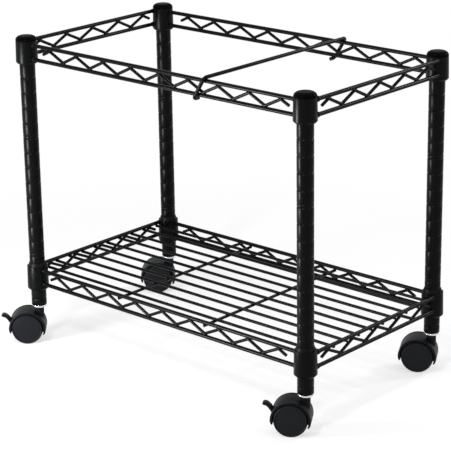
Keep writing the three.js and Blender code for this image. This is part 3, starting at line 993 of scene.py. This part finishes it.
@dataclass
class RailFrame:
    """Four rails at one level, outside the posts' middles: two wires with a zigzag between them."""

    plan: Plan
    level: Level
    wire: float = 3.25
    height: float = 23.0
    side_rise: float = 1.4
    zigzag_wire: float = 2.5
    zigzag_inset: float = 4.3
    zigzag_bend: float = 5.5
    pitch: float = 60.0
    end_gap: float = 18.3
    collar_radius: float = 18.0
    collar_bite: float = 1.6
    collar_bead: Triple = (4.0, 4.2, 4.3)
    collar_bead_inset: float = 0.4
    bend_bead: Triple = (5.2, 2.5, 1.5)

    def build(self, shop: Workshop, bench: WireBench) -> None:
        """Builds the four rails.

        Args:
            shop: The workshop that finishes them.
            bench: The bench that bends their wires.
        """
        for seed, side in enumerate(Side):
            wires, beads = self.rail(side)
            node = f"{self.level.name}_rail_{side.label}"
            shop.piece(bench.mesh(node, wires, beads, seed), node, "frame", POWDER_COAT)

    def place(self, side: Side) -> Matrix:
        """Works out where a rail stands.

        Args:
            side: The side that it is on.

        Returns:
            Its frame: X along the rail, -Y outwards and Z up from its upper wire.
        """
        across = self.plan.rail_y if side.is_long else self.plan.rail_x
        height = self.level.upper_wire + (0 if side.is_long else self.side_rise)
        turn = Matrix.Rotation(side.turn, 4, "Z")
        edge = turn @ Vector((0, -across, 0))
        return Matrix.Translation(self.plan.centre + edge + Vector((0, 0, height))) @ turn

    def rail(self, side: Side) -> tuple[list[Wire], list[Bead]]:
        """Draws one rail.

        Args:
            side: The side that it is on.

        Returns:
            Its wires and its weld beads, in the row frame.
        """
        plan, place = self.plan, self.place(side)
        span, out = (plan.span_x, plan.long_out) if side.is_long else (plan.span_y, plan.side_out)
        seat = span / 2 - math.sqrt(self.collar_radius ** 2 - out ** 2)
        reach, inset = seat + self.collar_bite, self.collar_bead_inset
        wires, beads = [], []
        for height in (0, -self.height):
            ends = (Vector((-reach, 0, height)), Vector((reach, 0, height)))
            wires.append(Wire(tuple(place @ end for end in ends), self.wire))
            for sign in (-1, 1):
                spot = Vector((sign * (seat - inset), inset, height))
                beads.append(self._bead(place, spot, self.collar_bead))
        towards_x = {Side.FRONT: 1, Side.BACK: -1}.get(side, 0)
        bends = self._zigzag(seat, towards_x * self.level.zigzag_shift)
        path = tuple(place @ bend for bend in bends)
        wires.append(Wire(path, self.zigzag_wire, self.zigzag_bend))
        for bend in bends[1:-1]:
            height = -self.wire if bend.z > -self.height / 2 else self.wire - self.height
            beads.append(self._bead(place, Vector((bend.x, 0, height)), self.bend_bead))
        return wires, beads

    def _zigzag(self, seat: float, shift: float) -> list[Vector]:
        """Draws the zigzag, with free ends half a leg past its outer bends.

        Args:
            seat: How far the collars are from the rail's middle.
            shift: How far the zigzag is moved along the rail.

        Returns:
            Its ends and bends in order, in the rail's frame.
        """
        peaks = int(2 * (seat - abs(shift) - self.end_gap) / self.pitch) + 1
        first = shift - (peaks - 1) * self.pitch / 2
        last = first + (peaks - 1) * self.pitch
        top, middle, bottom = -self.zigzag_inset, -self.height / 2, self.zigzag_inset - self.height
        path = [Vector((first - self.pitch / 4, 0, middle))]
        for i in range(2 * peaks - 1):
            path.append(Vector((first + i * self.pitch / 2, 0, bottom if i % 2 else top)))
        return path + [Vector((last + self.pitch / 4, 0, middle))]

    @staticmethod
    def _bead(place: Matrix, spot: Vector, half_sizes: Triple) -> Bead:
        """Turns a bead so that it lies along the rail.

        Args:
            place: The rail's frame.
            spot: Where the bead sits in that frame.
            half_sizes: Its half sizes in that frame.

        Returns:
            The bead in the row frame.
        """
        turned = place.to_3x3() @ Vector(half_sizes)
        return Bead(place @ spot, Vector(abs(value) for value in turned))


@dataclass
class ShelfDeck:
    """The shelf's deck: long wires on two cross wires, all under the rails' upper wires."""

    plan: Plan
    cross_level: float = 122.7
    deck_level: float = 125.4
    wire: float = 2.5
    wires: int = 10
    pitch: float = 30.2
    stub: float = 1.0
    short: float = 2.4
    cross_offset: float = 93.0
    cross_shift: float = -3.0
    cross_end_bead: Triple = (2.2, 2.4, 1.0)
    long_end_bead: Triple = (2.4, 2.2, 1.0)
    crossing_bead: Triple = (2.3, 2.3, 1.1)
    seed: int = 11

    def build(self, shop: Workshop, bench: WireBench) -> None:
        """Builds the deck.

        Args:
            shop: The workshop that finishes it.
            bench: The bench that lays its wires.
        """
        node = "shelf_deck"
        shop.piece(bench.mesh(node, *self.draw(), self.seed), node, "frame", POWDER_COAT)

    def draw(self) -> tuple[list[Wire], list[Bead]]:
        """Draws the deck; its outer long wires end short of the side rails, the others past them.

        Returns:
            Its wires and weld beads, in the row frame.
        """
        rail_x, rail_y = self.plan.rail_x, self.plan.rail_y
        crossings = [self.cross_shift + sign * self.cross_offset for sign in (-1, 1)]
        between = (self.cross_level + self.deck_level) / 2
        wires, beads = [], []
        for x in crossings:
            reach = rail_y + self.stub
            wires.append(self._wire((x, -reach, self.cross_level), (x, reach, self.cross_level)))
            for y in (-rail_y, rail_y):
                beads.append(self._bead((x, y, self.cross_level + self.wire), self.cross_end_bead))
        for i in range(self.wires):
            y = (i - (self.wires - 1) / 2) * self.pitch
            reach = rail_x + (self.stub if 0 < i < self.wires - 1 else -self.short)
            wires.append(self._wire((-reach, y, self.deck_level), (reach, y, self.deck_level)))
            for x in crossings:
                beads.append(self._bead((x, y, between), self.crossing_bead))
            for x in (-min(reach, rail_x), min(reach, rail_x)):
                beads.append(self._bead((x, y, self.deck_level + self.wire), self.long_end_bead))
        return wires, beads

    def _bead(self, spot: Triple, half_sizes: Triple) -> Bead:
        """A bead at a spot from the cart's centre."""
        return Bead(self.plan.centre + Vector(spot), Vector(half_sizes))

    def _wire(self, start: Triple, end: Triple) -> Wire:
        """A straight wire between two spots from the cart's centre."""
        return Wire(tuple(self.plan.centre + Vector(spot) for spot in (start, end)), self.wire)


@dataclass
class CrossRail:
    """The sliding cross rail: one rod on the long rails, bent at each end to hook under them."""

    plan: Plan
    place_x: float = 105.0
    level: float = 6.3
    rod: float = 3.0
    out: float = 8.3
    foot_level: float = -29.3
    lean: float = 22.0
    toe: float = 11.0
    bend: float = 6.0

    def build(self, shop: Workshop, bench: WireBench) -> None:
        """Builds the cross rail.

        Args:
            shop: The workshop that finishes it.
            bench: The bench that bends its rod.
        """
        node = "cross_rail"
        shop.piece(bench.mesh(node, [self.draw()]), node, "cross_rail", POWDER_COAT)

    def draw(self) -> Wire:
        """Draws the rod from the toe of one hook to the toe of the other.

        Returns:
            The rod, in the row frame.
        """
        origin = self.plan.centre + Vector((self.place_x, 0, TOP.upper_wire))
        out = self.plan.span_y / 2 + self.out
        hook = [
            (-self.lean, out - self.toe, self.foot_level), (-self.lean, out, self.foot_level),
            (0, out, self.level)]
        front = [origin + Vector((x, -y, z)) for x, y, z in hook]
        back = [origin + Vector((x, y, z)) for x, y, z in reversed(hook)]
        return Wire(tuple(front + back), self.rod, self.bend)


@dataclass
class Caster:
    """A hooded twin-wheel caster, drawn with its swivel axis on Z and its wheels trailing to -X.

    hood_section and wheel_rim give the crown's and the wheel's edges point by point: the crown's as
    (distance from the middle, radius), the wheel's as (distance in from the tread, from the face).
    """

    corner: Corner
    axis: Vector
    clearance: float = 0.3
    trail: float = 21.0
    wheel_radius: float = 26.0
    wheel_inner_face: float = 7.5
    wheel_outer_face: float = 20.0
    wheel_skin: float = 1.8
    wheel_rim: tuple[Pair, ...] = (
        (4.4, 0.5), (3.9, 0.9), (3.3, 0.9), (2.7, 0.0), (1.6, 0.0), (0.0, 2.2))
    wheel_back_ease: Pair = (1.8, 2.2)
    wheel_boss: Pair = (4.0, 0.2)
    wheel_edge: float = 1.1
    wheel_segments: int = 72
    axle_radius: float = 3.0
    pin_edge: float = 0.6
    pin_segments: int = 24
    hood_bore: float = 27.6
    hood_section: tuple[Pair, ...] = (
        (0.0, 31.0), (2.8, 31.0), (5.5, 30.95), (8.0, 30.88), (10.5, 30.75), (13.2, 30.6),
        (15.7, 30.45), (16.5, 30.6), (17.1, 30.9), (17.8, 31.0), (18.4, 30.9), (18.9, 30.6),
        (19.25, 30.1), (19.4, 29.5))
    hood_front: float = -21.0
    hood_rear: float = 193.0
    hood_step: float = 3.0
    hood_taper: float = 9.0
    hood_taper_steps: int = 5
    hood_tip: float = 0.35
    slot_half_width: float = 5.5
    slot_low: float = 176.0
    slot_high: float = 146.0
    same_angle: float = 0.01
    web_half_width: float = 7.0
    web_radius: float = 29.0
    web_hub: float = 10.0
    web_notch: float = -20.7
    web_margin: int = 2
    web_step: int = 3
    neck_radius: float = 7.5
    neck_foot: float = 41.0
    neck_top: float = 60.0
    neck_edge: float = 0.8
    neck_segments: int = 40
    stem_radius: float = 5.5
    stem_top: float = 98.5
    stem_shoulder: float = 1.4
    tenon_foot: float = 53.0
    tenon_gap: float = 0.4
    tenon_radius: float = 4.0
    lever_pivot: Pair = (-24.0, 4.5)
    lever_path: tuple[Pair, ...] = ((0, 0), (-6.5, 4.9), (-9.5, 19.6), (-19.5, 15.2))
    lever_steps: int = 44
    lever_half_width: float = 5.2
    lever_half_thickness: float = 2.6
    lever_edge: float = 1.1
    lever_knuckle: float = 2.9
    lever_knuckle_edge: float = 0.7
    lever_ribs: int = 3
    lever_ribbed: Pair = (0.45, 0.9)
    lever_rib_height: float = 0.3
    lever_tip: float = 0.9
    lever_tip_thinnest: float = 0.06
    lever_tip_narrowing: float = 0.9

    @property
    def place(self) -> Matrix:
        """Where the caster's frame stands."""
        return Matrix.Translation(self.axis) @ Matrix.Rotation(self.corner.heading, 4, "Z")

    @property
    def wheel_place(self) -> Matrix:
        """Where the wheels' centre stands, in the caster's heading."""
        return self.place @ Matrix.Translation(Vector((-self.trail, 0, self.wheel_radius)))

    def build(self, shop: Workshop) -> None:
        """Builds the caster's pieces.

        Args:
            shop: The workshop that finishes them.
        """
        end = self.corner.label
        body = f"caster_{end}"
        shop.piece(self.hood().mesh("hood"), f"caster_hood_{end}", body, HOOD_NYLON)
        shop.piece(self.stem().mesh("stem"), f"caster_stem_{end}", "frame", ZINC_PLATE)
        shop.piece(self.axle().mesh("axle"), f"caster_axle_{end}", body, ZINC_PLATE)
        for label, turn in (("outer", 90), ("inner", -90)):
            wheel = self.wheel(turn).mesh("wheel")
            shop.piece(wheel, f"caster_wheel_{label}_{end}", f"wheel_{label}_{end}", WHEEL_NYLON)
        if self.corner.braked:
            lever = self.lever().mesh("lever")
            shop.piece(lever, f"brake_lever_{end}", f"brake_{end}", LEVER_NYLON)

    def hood(self) -> Draft:
        """Draws the domed crown with its lipped edges, the web between the wheels and the neck.

        Returns:
            The hood's draft.
        """
        draft = Draft()
        self._add_crown(draft)
        outline, half = self._web_outline(), self.web_half_width
        draft.swept(
            [[Vector((x, y, z)) for x, z in outline] for y in (-half, half)], self.wheel_place)
        bore, floor = self.tenon_radius + self.clearance, self.tenon_foot - self.tenon_gap
        neck = [
            (0, self.neck_foot), (self.neck_radius, self.neck_foot),
            (self.neck_radius, self.neck_top), (bore, self.neck_top), (bore, floor), (0, floor)]
        draft.turned(rounded(neck, self.neck_edge, steps=4), self.place, self.neck_segments)
        return draft

    def _add_crown(self, draft: Draft) -> None:
        """Adds the crown: a curved sheet round the wheels, with the lever's slot left out.

        Args:
            draft: The hood's draft.
        """
        angles = self._crown_angles()
        section = [(-y, r) for y, r in reversed(self.hood_section[1:])] + list(self.hood_section)
        outer, inner = [], []
        for angle in angles:
            turn = math.radians(angle)
            across = Vector((math.cos(turn), 0, math.sin(turn)))
            to_end = min(angle - self.hood_front, self.hood_rear - angle) / self.hood_taper
            share = 1.0 if to_end >= 1 else self.hood_tip + (1 - self.hood_tip) * math.sqrt(to_end)
            radii = [self.hood_bore + (r - self.hood_bore) * share for _, r in section]
            outer.append([across * r + Vector((0, y, 0)) for r, (y, _) in zip(radii, section)])
            inner.append([across * self.hood_bore + Vector((0, y, 0)) for y, _ in section])

        def kept(row: int, column: int) -> bool:
            """Says whether a cell of the sheet isn't cut away for the lever.

            Args:
                row: The cell's place along the crown.
                column: Its place across the crown.

            Returns:
                True where the cell stays.
            """
            if not self.corner.braked:
                return True
            middle = abs(section[column][0] + section[column + 1][0]) / 2 < self.slot_half_width
            high, low = self.slot_high - self.same_angle, self.slot_low + self.same_angle
            return not (middle and high < angles[row] and angles[row + 1] < low)

        draft.sheet(outer, inner, kept, self.wheel_place)

    def _crown_angles(self) -> list[float]:
        """Works out where the crown's sections stand, closer together where its ends taper.

        Returns:
            Their angles round the wheels' centre, in degrees up from the front.
        """
        shares = [i / self.hood_taper_steps for i in range(self.hood_taper_steps)]
        ends = [self.hood_taper * share ** 2 for share in shares]
        angles = [self.hood_front + step for step in ends]
        angles += [self.hood_rear - step for step in ends]
        count = int((self.slot_high - self.hood_front - self.hood_taper) / self.hood_step)
        angle = self.slot_high - count * self.hood_step
        while angle < self.hood_rear - self.hood_taper + self.same_angle:
            angles.append(angle)
            angle += self.hood_step
        return sorted(angles)

    def _web_outline(self) -> Profile:
        """Draws the web's outline, notched where the lever swings.

        Returns:
            The outline as (x, z) points from the wheels' centre.
        """
        first, last = int(self.hood_front) + self.web_margin, int(self.hood_rear) - self.web_margin
        angles = range(first, last + 1, self.web_step)

        def on_rim(angle: float) -> Pair:
            """The point of the web's rim at an angle in degrees."""
            turn = math.radians(angle)
            return (self.web_radius * math.cos(turn), self.web_radius * math.sin(turn))

        rim = [on_rim(angle) for angle in angles]
        if self.corner.braked:
            before = [on_rim(angle) for angle in angles if angle < self.slot_high]
            after = [on_rim(angle) for angle in angles if angle > self.slot_low]
            notch = [(self.web_notch, before[-1][1]), (self.web_notch, after[0][1])]
            rim = before + notch + after
        return rim + [(-self.web_hub, -self.web_hub), (self.web_hub, -self.web_hub)]

    def stem(self) -> Draft:
        """Draws the stem: a tenon in the neck, a shoulder on it and a pin up into the socket.

        Returns:
            The stem's draft.
        """
        foot = self.neck_top + self.clearance
        top = foot + self.stem_shoulder
        section = [
            (0, self.tenon_foot), (self.tenon_radius, self.tenon_foot), (self.tenon_radius, foot),
            (self.neck_radius, foot), (self.neck_radius, top), (self.stem_radius, top),
            (self.stem_radius, self.stem_top), (0, self.stem_top)]
        draft = Draft()
        draft.turned(rounded(section, self.pin_edge), self.place, self.neck_segments)
        return draft

    def axle(self) -> Draft:
        """Draws the axle between the wheels' blind bores.

        Returns:
            The axle's draft.
        """
        reach = self.wheel_outer_face - self.wheel_skin - self.clearance
        draft = Draft()
        draft.turned(
            rounded(pin(self.axle_radius, -reach, reach), self.pin_edge),
            self.wheel_place @ Matrix.Rotation(math.pi / 2, 4, "X"), self.pin_segments)
        return draft

    def wheel(self, turn: float) -> Draft:
        """Draws a wheel with a round tread, a flat face inside a low rim, and a blind bore.

        Args:
            turn: The turn about X that takes +Z to the wheel's outer side, in degrees.

        Returns:
            The wheel's draft.
        """
        out, low, edge = self.wheel_outer_face, self.wheel_inner_face, self.wheel_radius
        rim = [(edge - inward, out - down) for inward, down in self.wheel_rim]
        ease_in, ease_up = self.wheel_back_ease
        bore, floor = self.axle_radius + self.clearance, out - self.wheel_skin
        boss, boss_face = bore + self.wheel_boss[0], low - self.wheel_boss[1]
        section = [
            (0, rim[0][1]), *rim, (edge, low + ease_up), (edge - ease_in, low), (boss, low),
            (boss, boss_face), (bore, boss_face), (bore, floor), (0, floor)]
        draft = Draft()
        draft.turned(
            rounded(section, self.wheel_edge, steps=4),
            self.wheel_place @ Matrix.Rotation(math.radians(turn), 4, "X"), self.wheel_segments)
        return draft

    def lever(self) -> Draft:
        """Draws the brake lever: a knuckle on its pivot and a curled pedal.

        Returns:
            The lever's draft.
        """
        x, z = self.lever_pivot
        place = self.wheel_place @ Matrix.Translation(Vector((x, 0, z)))
        knuckle = pin(self.lever_knuckle, -self.lever_half_width, self.lever_half_width)
        draft = Draft()
        draft.turned(
            rounded(knuckle, self.lever_knuckle_edge),
            place @ Matrix.Rotation(math.pi / 2, 4, "X"), self.pin_segments)
        steps = range(self.lever_steps + 1)
        draft.swept([self._pedal_section(step / self.lever_steps) for step in steps], place)
        return draft

    def _pedal_section(self, t: float) -> list[Vector]:
        """Draws one section across the pedal, which has low ribs and a thinner, narrower tip.

        Args:
            t: How far along the pedal it is, from 0 to 1.

        Returns:
            The section's points, from the lever's pivot.
        """
        a, b, c, d = (Vector((x, 0, z)) for x, z in self.lever_path)
        s = 1 - t
        spot = a * s ** 3 + b * 3 * s * s * t + c * 3 * s * t * t + d * t ** 3
        along = ((b - a) * s * s + (c - b) * 2 * s * t + (d - c) * t * t).normalized()
        down = Vector((-along.z, 0, along.x))
        past = max(0.0, (t - self.lever_tip) / (1 - self.lever_tip)) ** 2
        thick = self.lever_half_thickness * math.sqrt(max(self.lever_tip_thinnest, 1 - past))
        wide = self.lever_half_width - self.lever_tip_narrowing * past
        first, last = self.lever_ribbed
        rib = 0.0
        if first < t < last:
            wave = math.sin(math.tau * self.lever_ribs * (t - first) / (last - first))
            rib = self.lever_rib_height * max(0.0, wave)
        upper = -thick - rib
        corners = [(wide, thick), (-wide, thick), (-wide, upper), (wide, upper)]
        section = rounded(corners, self.lever_edge, keep_axis=False)
        return [spot + Vector((0, y, 0)) + down * depth for y, depth in section]


@dataclass(frozen=True)
class Softbox:
    """A lamp: where it hangs from the cart's centre on the floor, its two sides and its watts."""

    name: str
    place: Triple
    sides: Pair
    power: float


# The low strip puts the bright line on the posts, which mirror what stands low in front of them.
# Two small lamps pick out edges from the front and the back, and two large ones fill in evenly.
SOFTBOXES = (
    Softbox("key_strip", (-420, -900, 190), (200, 370), 15),
    Softbox("glint_softbox", (420, -1550, 1900), (240, 240), 20),
    Softbox("rim_softbox", (1000, 1650, 1350), (260, 260), 15),
    Softbox("fill_softbox", (2400, 300, 1500), (1800, 1800), 12),
    Softbox("top_softbox", (-300, 200, 2600), (2000, 2000), 16),
)


@dataclass
class Studio:
    """A pale floor, soft lamps and the camera at the photograph's viewing angle."""

    centre: Vector
    image_width: float = 451.0
    image_height: float = 467.0
    sensor: float = 36.0
    azimuth: float = 42.26
    elevation: float = 18.66
    roll: float = -0.97
    focal_pixels: float = 1833.86
    middle_x: float = 220.05
    middle_y: float = 229.04
    camera_place: Triple = (1879.85, -2091.33, 1168.22)
    lamp_target: Triple = (0, 0, 250)
    floor_size: float = 40000.0
    floor_colour: str = "#fbfbfb"
    floor_glow: float = 0.6
    glow_from: float = 380.0
    glow_to: float = 1100.0
    ambient: float = 0.35

    def build(self) -> None:
        """Builds the floor, the world, the lamps and the camera."""
        bpy.context.scene.view_settings.view_transform = "Standard"
        self._floor()
        self._world()
        for softbox in SOFTBOXES:
            self._hang(softbox)
        self._camera()

    @staticmethod
    def _seen_directly(tree: bpy.types.NodeTree) -> bpy.types.NodeSocket:
        """Tells rays that show the background itself, seen, mirrored or let through, from others.

        Args:
            tree: The tree that gets the nodes.

        Returns:
            The socket that gives 1 for such rays and 0 for others.
        """
        path = add_node(tree, "ShaderNodeLightPath")
        mirrored = add_node(tree, "ShaderNodeMath", {"operation": "MAXIMUM"}, {
            0: path.outputs["Is Glossy Ray"], 1: path.outputs["Is Transmission Ray"]})
        seen = add_node(tree, "ShaderNodeMath", {"operation": "MAXIMUM"}, {
            0: path.outputs["Is Camera Ray"], 1: mirrored.outputs[0]})
        return seen.outputs[0]

    def _paper(self) -> bpy.types.Material:
        """Makes the floor's paper: matt and pale, whiter by itself further away from the cart.

        Returns:
            The material.
        """
        made = bpy.data.materials.new("matt_white_paper")
        made.use_nodes = True
        tree = made.node_tree
        tree.nodes.clear()
        place = add_node(tree, "ShaderNodeTexCoord").outputs["Object"]
        away = add_node(tree, "ShaderNodeVectorMath", {"operation": "LENGTH"}, {0: place})
        white = add_node(tree, "ShaderNodeMapRange", {"interpolation_type": "SMOOTHSTEP"}, {
            "Value": away.outputs["Value"],
            "From Min": self.glow_from * MM, "From Max": self.glow_to * MM,
            "To Min": self.floor_glow, "To Max": 1.0})
        share = add_node(tree, "ShaderNodeMath", {"operation": "MULTIPLY"}, {
            0: self._seen_directly(tree), 1: white.outputs["Result"]})
        paper = add_node(tree, "ShaderNodeBsdfDiffuse", None, {"Color": linear(self.floor_colour)})
        glow = add_node(tree, "ShaderNodeEmission", None, {"Color": linear(WHITE), "Strength": 1.0})
        mixed = add_node(tree, "ShaderNodeMixShader", None, {
            0: share.outputs[0], 1: paper.outputs["BSDF"], 2: glow.outputs["Emission"]})
        add_node(tree, "ShaderNodeOutputMaterial", None, {"Surface": mixed.outputs["Shader"]})
        return made

    def _floor(self) -> None:
        """Lays the floor."""
        half = self.floor_size / 2 * MM
        mesh = bpy.data.meshes.new("studio_floor")
        mesh.from_pydata(
            [(-half, -half, 0), (half, -half, 0), (half, half, 0), (-half, half, 0)],
            [], [(0, 1, 2, 3)])
        mesh.materials.append(self._paper())
        floor = bpy.data.objects.new("studio_floor", mesh)
        bpy.context.scene.collection.objects.link(floor)

    def _world(self) -> None:
        """Makes the world white where it is seen and a low even light elsewhere."""
        world = bpy.data.worlds.new("studio_world")
        world.use_nodes = True
        tree = world.node_tree
        tree.nodes.clear()
        strength = add_node(tree, "ShaderNodeMapRange", None, {
            "Value": self._seen_directly(tree), "To Min": self.ambient, "To Max": 1.0})
        sky = add_node(tree, "ShaderNodeBackground", None, {
            "Color": linear(WHITE), "Strength": strength.outputs["Result"]})
        add_node(tree, "ShaderNodeOutputWorld", None, {"Surface": sky.outputs["Background"]})
        bpy.context.scene.world = world

    def _hang(self, softbox: Softbox) -> None:
        """Hangs a softbox that faces the cart.

        Args:
            softbox: The softbox.
        """
        lamp = bpy.data.lights.new(softbox.name, "AREA")
        lamp.shape = "RECTANGLE"
        lamp.size, lamp.size_y = (side * MM for side in softbox.sides)
        lamp.energy = softbox.power
        holder = bpy.data.objects.new(softbox.name, lamp)
        holder.location = (self.centre + Vector(softbox.place)) * MM
        aim = Vector(self.lamp_target) - Vector(softbox.place)
        holder.rotation_euler = aim.to_track_quat("-Z", "Y").to_euler()
        bpy.context.scene.collection.objects.link(holder)

    def _camera(self) -> None:
        """Sets the camera from the view solved for the photograph."""
        azimuth, elevation, roll = (
            math.radians(angle) for angle in (self.azimuth, self.elevation, self.roll))
        level = Vector((math.cos(azimuth), math.sin(azimuth), 0))
        back = Vector((
            math.sin(azimuth) * math.cos(elevation), -math.cos(azimuth) * math.cos(elevation),
            math.sin(elevation)))
        upright = back.cross(level)
        right = math.cos(roll) * level + math.sin(roll) * upright
        up = math.cos(roll) * upright - math.sin(roll) * level
        long_side = max(self.image_width, self.image_height)
        lens = bpy.data.cameras.new("photo_camera")
        lens.sensor_width = self.sensor
        lens.lens = self.focal_pixels * self.sensor / long_side
        lens.shift_x = (self.image_width / 2 - self.middle_x) / long_side
        lens.shift_y = (self.middle_y - self.image_height / 2) / long_side
        camera = bpy.data.objects.new("photo_camera", lens)
        place = Matrix.Translation((self.centre + Vector(self.camera_place)) * MM)
        camera.matrix_world = place @ Matrix((right, up, back)).transposed().to_4x4()
        bpy.context.scene.collection.objects.link(camera)
        bpy.context.scene.camera = camera


def main() -> None:
    """Builds the cart's pieces in order, and the studio round them."""
    logging.basicConfig(level=logging.INFO, format="%(message)s")
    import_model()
    plan = Plan.from_frame()
    shop = Workshop()
    bench = WireBench(shop.materials[POWDER_COAT.slot])
    for corner, axis in plan.axes.items():
        PostCorner(corner, axis).build(shop)
        Caster(corner, axis).build(shop)
    for level in LEVELS:
        RailFrame(plan, level).build(shop, bench)
    ShelfDeck(plan).build(shop, bench)
    CrossRail(plan).build(shop, bench)
    Studio(plan.centre).build()


if __name__ == "__main__":
    main()
